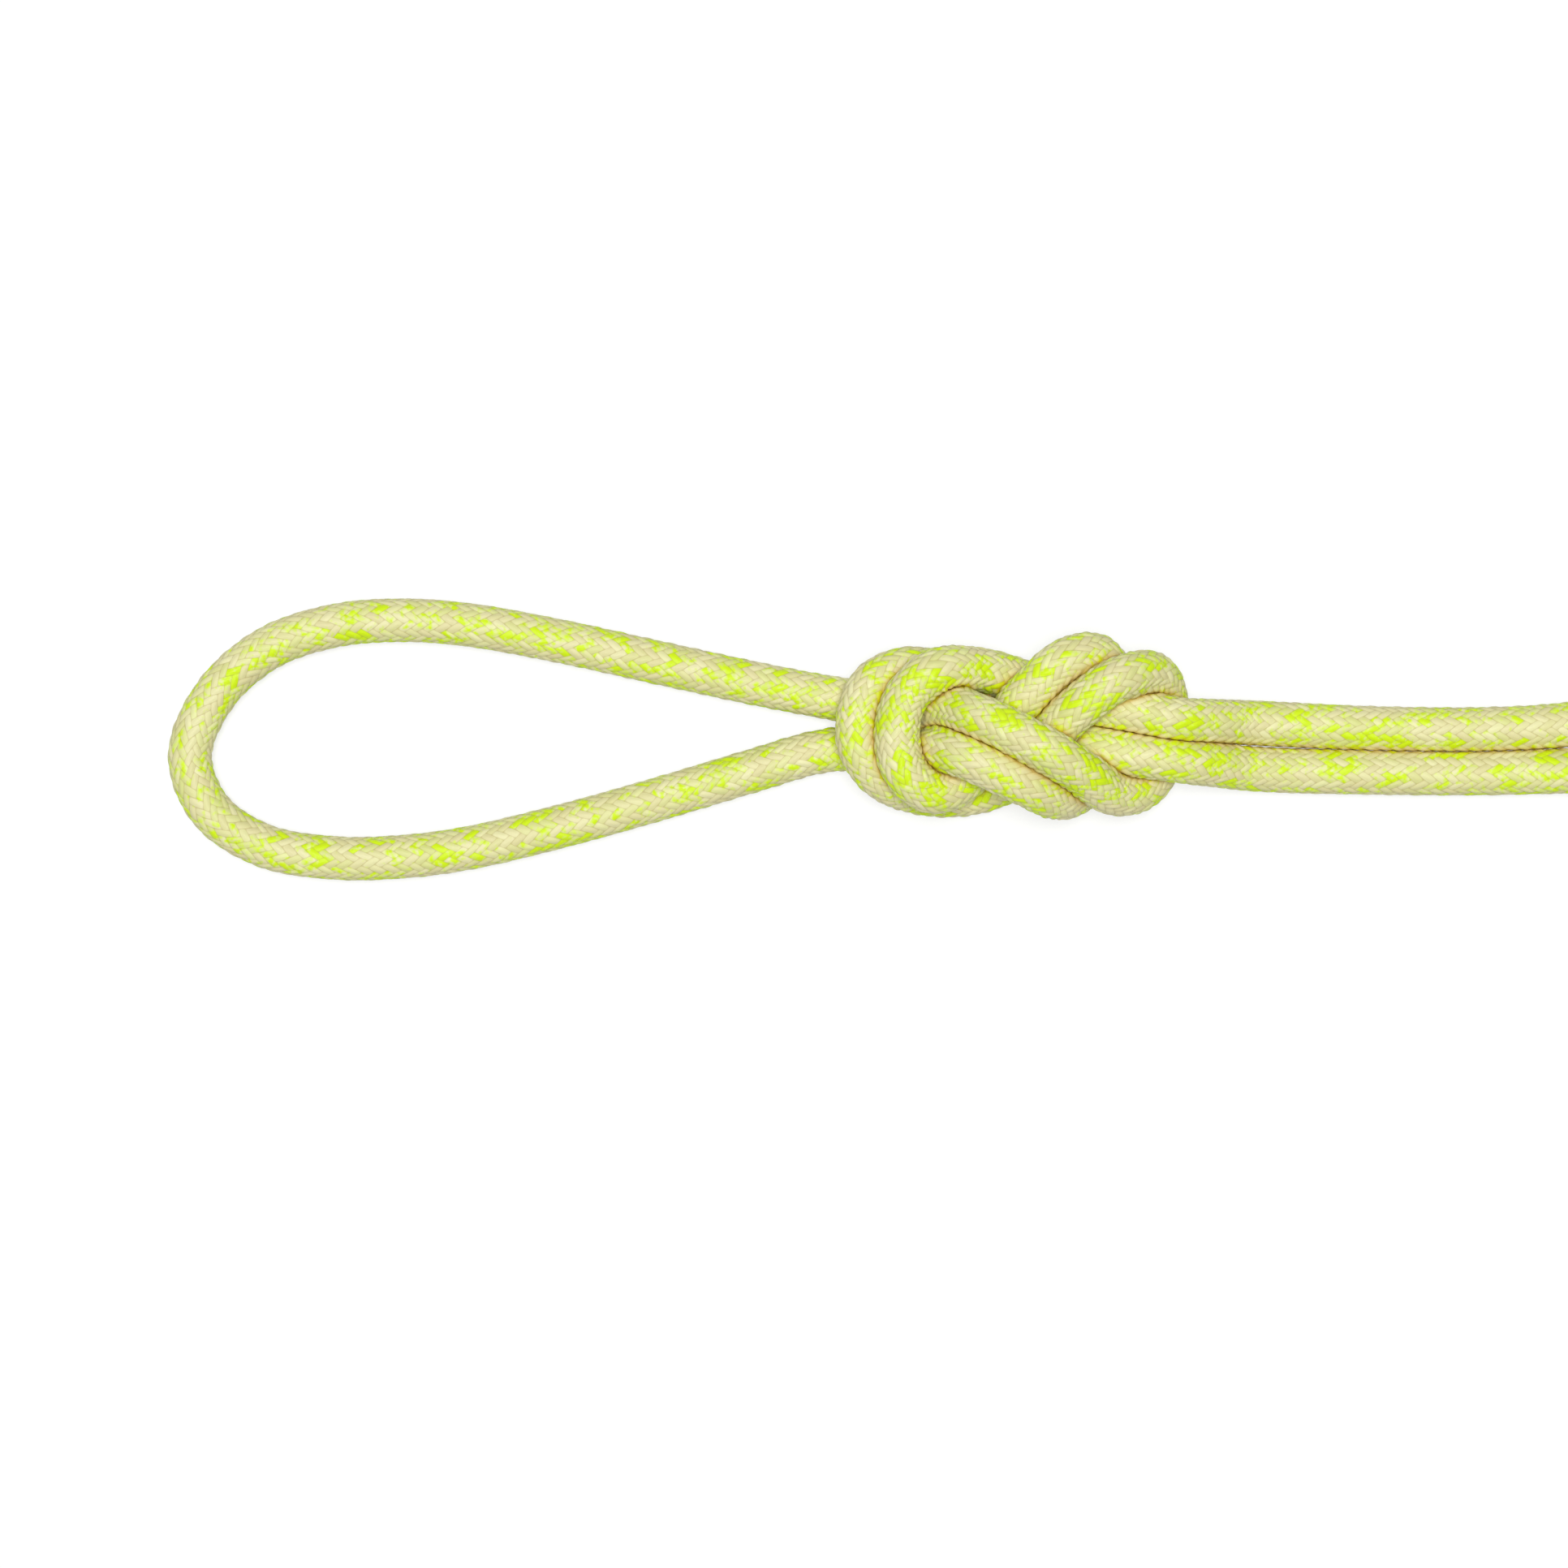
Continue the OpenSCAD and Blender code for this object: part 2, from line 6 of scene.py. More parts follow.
import bmesh
import bpy
import numpy as np
from mathutils import Matrix
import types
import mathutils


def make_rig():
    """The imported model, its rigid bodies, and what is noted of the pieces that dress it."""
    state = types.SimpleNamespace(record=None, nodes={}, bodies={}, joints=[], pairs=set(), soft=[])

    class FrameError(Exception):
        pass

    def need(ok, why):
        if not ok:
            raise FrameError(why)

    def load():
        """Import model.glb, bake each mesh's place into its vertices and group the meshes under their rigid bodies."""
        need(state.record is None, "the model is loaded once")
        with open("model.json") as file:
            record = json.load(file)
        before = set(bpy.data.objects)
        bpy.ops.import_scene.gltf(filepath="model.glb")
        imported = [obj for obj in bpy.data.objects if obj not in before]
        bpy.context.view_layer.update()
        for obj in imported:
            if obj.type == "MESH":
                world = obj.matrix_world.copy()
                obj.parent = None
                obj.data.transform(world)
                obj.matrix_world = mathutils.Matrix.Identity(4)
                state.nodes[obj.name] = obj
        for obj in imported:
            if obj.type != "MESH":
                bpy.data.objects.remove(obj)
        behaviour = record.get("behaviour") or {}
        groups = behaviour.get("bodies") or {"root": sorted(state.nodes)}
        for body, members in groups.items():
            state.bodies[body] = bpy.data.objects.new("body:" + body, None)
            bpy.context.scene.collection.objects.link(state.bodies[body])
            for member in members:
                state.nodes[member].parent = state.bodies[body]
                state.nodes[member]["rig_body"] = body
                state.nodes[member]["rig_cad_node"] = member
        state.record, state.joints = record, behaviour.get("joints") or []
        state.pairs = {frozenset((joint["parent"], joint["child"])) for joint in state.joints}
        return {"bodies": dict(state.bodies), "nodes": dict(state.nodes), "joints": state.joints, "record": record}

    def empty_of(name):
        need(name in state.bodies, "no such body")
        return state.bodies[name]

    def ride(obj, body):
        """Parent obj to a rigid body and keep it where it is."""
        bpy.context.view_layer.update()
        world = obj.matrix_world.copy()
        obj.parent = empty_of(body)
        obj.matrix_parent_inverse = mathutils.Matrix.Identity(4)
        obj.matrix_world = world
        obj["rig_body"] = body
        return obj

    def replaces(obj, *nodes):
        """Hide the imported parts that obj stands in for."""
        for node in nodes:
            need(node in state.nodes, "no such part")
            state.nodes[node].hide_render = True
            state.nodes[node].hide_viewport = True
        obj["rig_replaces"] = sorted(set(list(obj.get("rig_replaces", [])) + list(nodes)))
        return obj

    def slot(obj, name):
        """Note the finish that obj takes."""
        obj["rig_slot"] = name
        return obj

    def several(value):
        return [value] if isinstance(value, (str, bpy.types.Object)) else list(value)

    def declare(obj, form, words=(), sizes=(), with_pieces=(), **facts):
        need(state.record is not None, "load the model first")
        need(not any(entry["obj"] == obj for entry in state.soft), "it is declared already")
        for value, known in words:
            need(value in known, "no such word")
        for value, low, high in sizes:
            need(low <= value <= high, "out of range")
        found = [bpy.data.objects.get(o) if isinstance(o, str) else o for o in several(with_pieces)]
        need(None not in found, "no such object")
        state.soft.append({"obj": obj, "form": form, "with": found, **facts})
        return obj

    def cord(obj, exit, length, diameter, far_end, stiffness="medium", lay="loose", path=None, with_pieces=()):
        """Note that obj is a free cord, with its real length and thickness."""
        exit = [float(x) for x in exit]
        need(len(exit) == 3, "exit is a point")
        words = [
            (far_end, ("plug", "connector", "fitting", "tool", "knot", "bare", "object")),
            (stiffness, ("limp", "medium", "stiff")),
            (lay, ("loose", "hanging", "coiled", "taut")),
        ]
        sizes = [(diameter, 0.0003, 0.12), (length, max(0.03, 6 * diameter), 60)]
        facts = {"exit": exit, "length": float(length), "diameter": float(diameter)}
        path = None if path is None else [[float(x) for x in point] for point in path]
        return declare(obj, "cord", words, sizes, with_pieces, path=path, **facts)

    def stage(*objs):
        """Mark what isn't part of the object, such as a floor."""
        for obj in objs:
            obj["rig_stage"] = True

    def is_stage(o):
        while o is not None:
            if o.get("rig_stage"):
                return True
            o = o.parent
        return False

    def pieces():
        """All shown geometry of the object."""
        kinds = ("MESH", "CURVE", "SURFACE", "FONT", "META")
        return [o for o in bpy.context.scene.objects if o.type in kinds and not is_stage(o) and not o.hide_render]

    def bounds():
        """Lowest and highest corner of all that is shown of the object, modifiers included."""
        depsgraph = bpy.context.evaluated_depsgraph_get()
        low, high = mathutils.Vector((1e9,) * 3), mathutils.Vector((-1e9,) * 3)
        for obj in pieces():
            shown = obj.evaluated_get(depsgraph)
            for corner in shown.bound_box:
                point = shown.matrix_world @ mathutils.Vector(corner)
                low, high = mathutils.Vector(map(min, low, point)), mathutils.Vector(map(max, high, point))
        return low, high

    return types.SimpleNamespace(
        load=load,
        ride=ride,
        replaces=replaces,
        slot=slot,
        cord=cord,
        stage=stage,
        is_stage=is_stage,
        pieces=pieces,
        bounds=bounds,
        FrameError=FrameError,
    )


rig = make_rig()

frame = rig.load()
cad_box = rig.bounds()


# --- Camera -----------------------------------------------------------------------------------
# It looks straight down on the knot and the eye through a long lens. The hank lies beyond the
# right edge of its view.
camera_data = bpy.data.cameras.new("camera")
camera_data.lens = 100
camera_data.sensor_width = 36
camera = bpy.data.objects.new("camera", camera_data)
camera.location = (-0.1970, 0.0002, 0.9589)
bpy.context.collection.objects.link(camera)
bpy.context.scene.camera = camera


# --- The rope's way ---------------------------------------------------------------------------
# One length of rope: from the tail's sealed end along the knot's doubled pass, round the eye,
# back along the knot's first pass and on, as the standing part, to the hank. The figure-eight
# is drawn up tight, so its strands press each other out of round.
rope_r = 0.00475
way_at = np.array((-0.33205, 0.010, 0.0))
tail_way = [
    (0.341, -0.007, 0.0055), (0.319, -0.007, 0.0055), (0.303, -0.0072, 0.0044),
    (0.289, -0.0075, 0.0038), (0.274, -0.0075, 0.0038), (0.259, -0.0073, 0.0038),
]
tail_pass_way = [
    (0.245, -0.007, 0.004), (0.236, -0.0065, 0.0053), (0.228, -0.0056, 0.0095),
    (0.22, -0.0047, 0.013), (0.211, -0.0032, 0.0134), (0.2025, -0.0016, 0.0117),
    (0.195, 0.0002, 0.0055), (0.1865, 0.0034, 0.004), (0.178, 0.008, 0.004),
    (0.17, 0.014, 0.005), (0.1615, 0.0153, 0.0097), (0.1543, 0.012, 0.0125),
    (0.1513, 0.0057, 0.0134), (0.1515, -0.002, 0.0135), (0.156, -0.0082, 0.0105),
    (0.1635, -0.0115, 0.005), (0.1725, -0.0123, 0.004), (0.1815, -0.0103, 0.0053),
    (0.1885, -0.0048, 0.011), (0.1935, 0.0015, 0.016), (0.2, 0.0078, 0.02),
    (0.2075, 0.013, 0.0193), (0.2152, 0.0142, 0.0125), (0.2187, 0.009, 0.0057),
    (0.2187, 0.001, 0.004), (0.217, -0.0065, 0.0042), (0.2125, -0.0112, 0.0077),
    (0.206, -0.0117, 0.013), (0.199, -0.007, 0.02), (0.192, -0.0028, 0.024),
    (0.184, 0.0015, 0.024), (0.1765, 0.005, 0.021), (0.1712, 0.0068, 0.0145),
    (0.166, 0.0063, 0.0082), (0.1605, 0.007, 0.0045), (0.152, 0.0082, 0.004),
]
eye_way = [
    (0.1425, 0.0096, 0.004), (0.1285, 0.0123, 0.0038), (0.1075, 0.0168, 0.0038),
    (0.086, 0.0215, 0.0038), (0.065, 0.0252, 0.0038), (0.0505, 0.0261, 0.0038),
    (0.0365, 0.0249, 0.0038), (0.022, 0.02, 0.0038), (0.0105, 0.01, 0.0038),
    (0.0048, -0.0035, 0.0038), (0.0093, -0.0155, 0.0038), (0.021, -0.0233, 0.0038),
    (0.0365, -0.026, 0.0038), (0.0505, -0.0258, 0.0038), (0.065, -0.024, 0.0038),
    (0.086, -0.0191, 0.0038), (0.1075, -0.0131, 0.0038), (0.1285, -0.0068, 0.0038),
]
standing_pass_way = [
    (0.1425, -0.0028, 0.004), (0.152, -0.002, 0.004), (0.1605, -0.0019, 0.0045),
    (0.1655, -0.0026, 0.0085), (0.1688, -0.002, 0.015), (0.1738, -0.0038, 0.0205),
    (0.181, -0.007, 0.0215), (0.188, -0.0103, 0.0195), (0.1935, -0.0127, 0.014),
    (0.1985, -0.012, 0.0075), (0.204, -0.0074, 0.004), (0.208, -0.0004, 0.004),
    (0.2092, 0.0074, 0.004), (0.207, 0.0142, 0.007), (0.2023, 0.0183, 0.013),
    (0.1955, 0.0168, 0.017), (0.1895, 0.0115, 0.0165), (0.184, 0.005, 0.014),
    (0.179, -0.002, 0.0113), (0.1742, -0.0088, 0.012), (0.1675, -0.0115, 0.015),
    (0.1613, -0.0073, 0.018), (0.1595, 0.001, 0.0183), (0.1618, 0.0095, 0.0185),
    (0.168, 0.0148, 0.018), (0.177, 0.0152, 0.0127), (0.186, 0.013, 0.0075),
    (0.1945, 0.0102, 0.007), (0.203, 0.0073, 0.0115), (0.2115, 0.0058, 0.0137),
    (0.22, 0.0043, 0.0135), (0.228, 0.004, 0.0098), (0.236, 0.0038, 0.0053),
]
standing_way = [
    (0.245, 0.0034, 0.004), (0.259, 0.0027, 0.0038), (0.274, 0.0023, 0.0038),
    (0.289, 0.0023, 0.0038), (0.303, 0.003, 0.0038), (0.316, 0.0048, 0.0038),
    (0.328, 0.009, 0.0038), (0.3385, 0.0165, 0.0038), (0.3485, 0.0265, 0.0038),
    (0.359, 0.037, 0.0038), (0.371, 0.0455, 0.0038),
]
hank_middle = np.array((0.1733, 0.0, 0.0038))
run_length = 0.185
fold_in, fold_out = 0.030, 0.0615
rope_join = hank_middle + (-run_length / 2 - 2 * rope_r, fold_out, 0)
stretch_ways = (tail_way, tail_pass_way, eye_way, standing_pass_way, standing_way)
way_points = np.array([p for way in stretch_ways for p in way]) + way_at
way_points = np.vstack((
    way_points,
    rope_join - (4 * rope_r, 0, 0), rope_join - (2 * rope_r, 0, 0), rope_join,
))


way_samples = 60


def smooth_way(points, samples):
    """Centripetal curve through the points, with this many samples from each to the next."""
    line = []
    for i in range(len(points) - 1):
        b, c = points[i], points[i + 1]
        a = points[i - 1] if i else 2 * b - c
        d = points[i + 2] if i + 2 < len(points) else 2 * c - b
        t1 = math.sqrt(np.linalg.norm(b - a))
        t2 = t1 + math.sqrt(np.linalg.norm(c - b))
        t3 = t2 + math.sqrt(np.linalg.norm(d - c))
        t = np.linspace(t1, t2, samples, endpoint=False)[:, None]
        ab = (a * (t1 - t) + b * t) / t1
        bc = (b * (t2 - t) + c * (t - t1)) / (t2 - t1)
        cd = (c * (t3 - t) + d * (t - t2)) / (t3 - t2)
        abc = (ab * (t2 - t) + bc * t) / t2
        bcd = (bc * (t3 - t) + cd * (t - t1)) / (t3 - t1)
        line.append((abc * (t2 - t) + bcd * (t - t1)) / (t2 - t1))
    return np.vstack(line + [points[-1:]])


def lengths_along(line):
    return np.concatenate(([0], np.cumsum(np.linalg.norm(np.diff(line, axis=0), axis=1))))


def directions_of(line):
    ahead = np.gradient(line, axis=0)
    return ahead / np.linalg.norm(ahead, axis=1)[:, None]


# The braid has thirty-two yarns, sixteen each way. The mesh has seven rings to a yarn's pitch
# along the rope and six points to a yarn's width round it. The knot crowds the yarns together.
yarn_columns = 16
yarn_pitch, knotted_pitch = 0.002752, 0.00232
rings_per_yarn, points_per_yarn = 7, 6
grid_round = points_per_yarn * yarn_columns

fine_way = smooth_way(way_points, way_samples)
fine_lengths = lengths_along(fine_way)
stretch_lengths = [
    fine_lengths[way_samples * sum(len(way) for way in stretch_ways[:k])]
    for k in range(len(stretch_ways))
]
stretch_lengths.append(fine_lengths[-1])
tail_side, eye_in, eye_out, standing_side = stretch_lengths[1:5]
in_knot = np.interp(
    fine_lengths, (tail_side + 0.004, tail_side + 0.03, eye_in - 0.012, eye_in + 0.01),
    (0, 1, 1, 0))
in_knot += np.interp(
    fine_lengths, (eye_out - 0.01, eye_out + 0.012, standing_side - 0.03, standing_side - 0.004),
    (0, 1, 1, 0))
fine_pitch = yarn_pitch + (knotted_pitch - yarn_pitch) * in_knot
yarns_passed = np.concatenate(([0], np.cumsum(np.diff(fine_lengths) / fine_pitch[1:])))
ring_count = int(yarns_passed[-1] * rings_per_yarn) + 1
rings_y = np.arange(ring_count) / rings_per_yarn
ring_lengths = np.interp(rings_y, yarns_passed, fine_lengths)
ring_lengths[-1] = fine_lengths[-1]
rings_at = np.stack([np.interp(ring_lengths, fine_lengths, fine_way[:, k]) for k in range(3)], 1)
rings_ahead = directions_of(rings_at)
rings_side = np.empty_like(rings_at)
side = np.array((0.0, 1.0, 0.0))
for i, ahead in enumerate(rings_ahead):
    side = side - side.dot(ahead) * ahead
    side /= np.linalg.norm(side)
    rings_side[i] = side
rings_up = np.cross(rings_ahead, rings_side)
stretch_starts = np.searchsorted(ring_lengths, stretch_lengths)


def pressed_rope():
    """Distance from the rope's middle to its surface, ring by ring and all round. Strands that
    lie against each other flatten there and share the room between them. Also how far that room
    reaches, and how strongly painted shade darkens the creases where the strands touch."""
    # Rings that count as the same strand, and how near another strand has to come to press on it
    same_strand, near_enough = 48, 0.014
    far, least_gap, soft = 1.0, 0.00002, 0.0001
    # The last is how far from a touching strand the painted crease shade fades out
    spread, spread_from, crease_shade_fade = 0.0006, 0.0014, 0.0006
    angles = np.arange(grid_round) * 2 * math.pi / grid_round
    touching = np.full((ring_count, grid_round), far)
    others = np.arange(0, ring_count, 4)
    for i in range(ring_count):
        away = rings_at[others] - rings_at[i]
        square = (away ** 2).sum(1)
        near = (np.abs(others - i) > same_strand) & (square < near_enough ** 2)
        if not near.any():
            continue
        outward = np.outer(np.cos(angles), rings_side[i]) + np.outer(np.sin(angles), rings_up[i])
        towards = outward @ away[near].T
        reach = np.where(towards > 1e-5, square[near] / (2 * np.maximum(towards, 1e-5)), far)
        touching[i] = reach.min(1)
    touching -= least_gap
    free = rope_r + spread * np.clip(1 - (touching - rope_r) / spread_from, 0, 1)
    pressed = free - soft * np.logaddexp(0, (free - touching) / soft)
    # The last is the share of painted shade, strongest in the creases where strands touch
    return pressed, touching, np.exp(-np.maximum(touching - pressed, 0) / crease_shade_fade)


rings_r, rings_touching, rings_crease_shade = pressed_rope()


# --- The braided sheath -----------------------------------------------------------------------
# Polyamide yarns braided two over, two under, round the core. Most are cream and some run to a
# neon yellow-green here and there, which shows as flecks. Each float stands up as a small rib.
yarn_height, knotted_height = 0.00032, 0.00042


def float_height(x, y):
    """Height of the braid's surface at column x and yarn y, from 0 in a gap to 1. No two floats
    are quite as full as each other."""
    a, b = y - x, y + x
    i, j = np.floor(a + 1e-6), np.floor(b + 1e-6)
    over = np.mod(j - i, 4) < 2
    across = np.where(over, a - i, b - j)
    along = np.where(over, np.mod(b - i, 4), np.mod(j - a, 4) - 1) / 2
    middle = np.where(over, i + 2 * np.floor((b - i) / 4), j - 2 * np.floor((j - a) / 4))
    number = np.mod(np.where(over, i, j + 31), yarn_columns) * 12.9898 + middle * 78.233
    fullness = 0.84 + 0.16 * np.sin(number)
    return fullness * np.sin(math.pi * np.clip(across, 0, 1)) ** 0.7 * np.sin(
        math.pi * np.clip(along, 0.04, 0.96)) ** 0.5


def tube_mesh(name, at, side, up, radii, turn_at, yarn_at, crease_shade=None):
    """Closed tube through rings of points. Its UV map holds the turn round the rope and the
    number of yarns along it."""
    count, around = radii.shape
    angles = np.arange(around) * 2 * math.pi / around
    points = (
        at[:, None, :]
        + (radii * np.cos(angles))[:, :, None] * side[:, None, :]
        + (radii * np.sin(angles))[:, :, None] * up[:, None, :]
    )
    points[:, :, 2] = np.maximum(points[:, :, 2], 0.0)
    i, k = np.meshgrid(np.arange(count - 1), np.arange(around), indexing="ij")
    next_k = (k + 1) % around
    quads = np.stack(
        (i * around + k, i * around + next_k, (i + 1) * around + next_k, (i + 1) * around + k), -1
    ).reshape(-1, 4)
    seam = (next_k == 0) * 1.0
    turns = np.stack((
        turn_at[i, k], turn_at[i, next_k] + seam,
        turn_at[i + 1, next_k] + seam, turn_at[i + 1, k]), -1)
    yarns = np.stack((
        yarn_at[i, k], yarn_at[i, next_k], yarn_at[i + 1, next_k], yarn_at[i + 1, k]), -1)
    mesh = bpy.data.meshes.new(name)
    last = (count - 1) * around
    caps = [list(range(around))[::-1], list(range(last, last + around))]
    mesh.from_pydata(points.reshape(-1, 3), [], quads.tolist() + caps)
    mesh.polygons.foreach_set("use_smooth", [True] * len(mesh.polygons))
    uv = mesh.uv_layers.new(name="UVMap")
    cap_uv = np.zeros((2 * around, 2))
    uv.data.foreach_set(
        "uv", np.vstack((np.stack((turns, yarns), -1).reshape(-1, 2), cap_uv)).ravel()
    )
    for cap in mesh.polygons[-2:]:
        cap.use_smooth = False
    # The share of painted crease shade, which the material reads
    if crease_shade is not None:
        mesh.attributes.new("crease_shade", "FLOAT", "POINT").data.foreach_set("value", crease_shade.ravel())
    piece = bpy.data.objects.new(name, mesh)
    bpy.context.collection.objects.link(piece)
    return piece


class Value:
    """A number in a shader: sums on it add Math nodes."""

    def __init__(self, shader, socket):
        self.shader, self.socket = shader, socket

    def math(self, operation, *others):
        return self.shader.math(operation, self, *others)

    def __add__(self, other):
        return self.math("ADD", other)

    def __sub__(self, other):
        return self.math("SUBTRACT", other)

    def __mul__(self, other):
        return self.math("MULTIPLY", other)

    def __truediv__(self, other):
        return self.math("DIVIDE", other)

    def __radd__(self, other):
        return self.shader.math("ADD", other, self)

    def __rsub__(self, other):
        return self.shader.math("SUBTRACT", other, self)

    def __rmul__(self, other):
        return self.shader.math("MULTIPLY", other, self)

    def __lt__(self, other):
        return self.math("LESS_THAN", other)

    def floor(self):
        return self.math("FLOOR")

    def wrapped(self, high):
        return self.math("FLOORED_MODULO", high)


class Shader:
    """A material's nodes, with one Principled shader at their end."""

    def __init__(self, name):
        self.material = bpy.data.materials.new(name)
        self.material.use_nodes = True
        self.nodes = self.material.node_tree.nodes
        self.surface = self.nodes["Principled BSDF"]

    def put(self, socket, value):
        if isinstance(value, Value):
            value = value.socket
        if isinstance(value, bpy.types.NodeSocket):
            self.material.node_tree.links.new(value, socket)
        else:
            socket.default_value = value

    def add(self, kind, settings={}, inputs={}):
        node = self.nodes.new(kind)
        for name, value in settings.items():
            setattr(node, name, value)
        for name, value in inputs.items():
            self.put(node.inputs[name], value)
        return node

    def math(self, operation, *values):
        node = self.add("ShaderNodeMath", {"operation": operation}, dict(enumerate(values)))
        return Value(self, node.outputs[0])

    def vector(self, x, y, z):
        return self.add("ShaderNodeCombineXYZ", {}, {0: x, 1: y, 2: z}).outputs[0]

    def noise(self, place, scale, detail, dimensions="3D"):
        node = self.add(
            "ShaderNodeTexNoise", {"noise_dimensions": dimensions},
            {"Vector": place, "Scale": scale, "Detail": detail},
        )
        return Value(self, node.outputs[0])

    def mix(self, share, first, second):
        node = self.add(
            "ShaderNodeMix", {"data_type": "RGBA", "clamp_factor": True},
            {0: share, 6: first, 7: second},
        )
        return node.outputs[2]

    def choose(self, yes, first, second):
        """The first number where yes is 1, the second where it is 0."""
        return second + yes * (first - second)


def paint(red, green, blue):
    """A colour given as on a screen, from 0 to 255, in the shader's own numbers."""
    values = (v / 255 for v in (red, green, blue))
    linear = (v / 12.92 if v < 0.04045 else ((v + 0.055) / 1.055) ** 2.4 for v in values)
    return (*linear, 1.0)


def braid_material(name, relief):
    s = Shader(name)
    uv = s.add("ShaderNodeSeparateXYZ", {}, {
        0: s.add("ShaderNodeUVMap", {"uv_map": "UVMap"}).outputs[0]})
    turn = Value(s, uv.outputs[0])
    y = Value(s, uv.outputs[1])
    x = turn * yarn_columns
    a, b = y - x, y + x
    i, j = a.floor(), b.floor()
    over = (j - i).wrapped(4) < 2
    across = s.choose(over, a - i, b - j)
    along = s.choose(over, (b - i).wrapped(4), (j - a).wrapped(4) - 1) / 2
    # The float's middle, which gives each float its own number
    a_mid = s.choose(over, i + 0.5, j - 2 - ((j - a) / 4).floor() * 4)
    b_mid = s.choose(over, i + 1 + ((b - i) / 4).floor() * 4, j + 0.5)
    x_mid, y_mid = (b_mid - a_mid) / 2, (a_mid + b_mid) / 2
    yarn = s.choose(over, i.wrapped(yarn_columns), j.wrapped(yarn_columns) + 31)
    own = s.add("ShaderNodeTexWhiteNoise", {"noise_dimensions": "3D"}, {
        "Vector": s.vector(yarn, (y_mid * 4).math("ROUND"), 0.5)})
    chance = Value(s, own.outputs[0])

    # Neon runs along a yarn for a float or two, and neighbouring yarns tend to run neon together
    run = s.noise(s.vector(yarn * 7.31, (y_mid + along - 0.5) * 0.35, 0.0), 1.0, 0.0, "2D")
    circle = x_mid * (2 * math.pi / yarn_columns)
    patch = s.noise(
        s.vector(circle.math("COSINE") * 2.0, circle.math("SINE") * 2.0, y_mid * 0.8), 0.5, 1.0)
    # A yarn is several threads, not all of them dyed, so the flecks break up within a float
    round_about = x * (2 * math.pi / yarn_columns)
    threads = s.noise(
        s.vector(round_about.math("COSINE") * 2.55, round_about.math("SINE") * 2.55, y * 1.47),
        1.45, 1.0)
    neon_score = run * 0.25 + patch * 0.58 + chance * 0.16 + threads * 0.46
    neon_from, neon_sharpness = 0.735, 9.0
    neon = ((neon_score - neon_from) * neon_sharpness).math("MAXIMUM", 0.0).math("MINIMUM", 1.0)

    cream = s.mix(chance, paint(218, 211, 156), paint(230, 227, 175))
    pale = s.mix(chance, paint(211, 216, 136), paint(226, 232, 156))
    odd = (yarn.wrapped(2) < 1)
    base = s.mix((patch - 0.44) * 4.0 + odd * 0.3, cream, pale)
    dyed = s.mix(neon, base, paint(206, 236, 14))
    # Painted shade darkens the gaps between the yarns towards a brownish tan
    rib_across = (across.math("MAXIMUM", 0.0) * math.pi).math("SINE").math("POWER", 0.7)
    within = along.math("MAXIMUM", 0.03).math("MINIMUM", 0.97)
    ribs = rib_across * (within * math.pi).math("SINE").math("POWER", 0.5)
    gap_shade = (1 - ribs * 2.6).math("MAXIMUM", 0.0)
    shaded = s.mix(gap_shade * 0.5, dyed, paint(158, 138, 64))
    # Painted shade, an olive brown, in the creases where the strands press on each other
    crease_shade = Value(s, s.add("ShaderNodeAttribute", {"attribute_name": "crease_shade"}).outputs["Fac"])
    s.put(s.surface.inputs["Base Color"], s.mix(crease_shade * 0.8, shaded, paint(190, 152, 10)))
    s.surface.inputs["Roughness"].default_value = 0.52
    s.surface.inputs["Specular IOR Level"].default_value = 0.35

    filaments = ((across * 5 + along * 2.5) * (2 * math.pi)).math("SINE") * 0.5 + 0.5
    bump = s.add("ShaderNodeBump", {}, {
        "Height": filaments * 0.08 + ribs * relief, "Distance": 0.0002, "Strength": 0.8})
    s.put(s.surface.inputs["Normal"], bump.outputs[0])
    return s.material


sheath_material = braid_material("braided_sheath", 0.0)


def braid_laid(y, angle):
    """Column and row of the braid at yarn y along the rope and at an angle round it. It isn't
    laid quite evenly: its columns wander and its rows run a little slanted."""
    column = angle * yarn_columns / (2 * math.pi) + (
        0.020 * y + 0.35 * np.sin(0.031 * y + 1.0) + 0.10 * np.sin(0.23 * y + angle)
        + 0.07 * np.sin(0.71 * y + 2 * angle + 2.0) + 0.05 * np.sin(1.31 * y - 3 * angle))
    row = y + (
        0.16 * np.sin(angle + 0.05 * y) + 0.09 * np.sin(0.37 * y + 2 * angle + 1.0)
        + 0.06 * np.sin(0.93 * y - angle + 3.0) + 0.04 * np.sin(1.7 * y + 3 * angle))
    return column, row


braid_x, braid_y = braid_laid(
    rings_y[:, None], 2 * math.pi * np.arange(grid_round)[None, :] / grid_round)
# Bending opens the braid, so its floats stand up more in the knot
heights = yarn_height + (knotted_height - yarn_height) * np.interp(
    ring_lengths, fine_lengths, in_knot)[:, None]
mean_height = 0.56
surface_r = rings_r + heights * (float_height(braid_x, braid_y) - mean_height)
surface_r = np.minimum(surface_r, rings_touching)

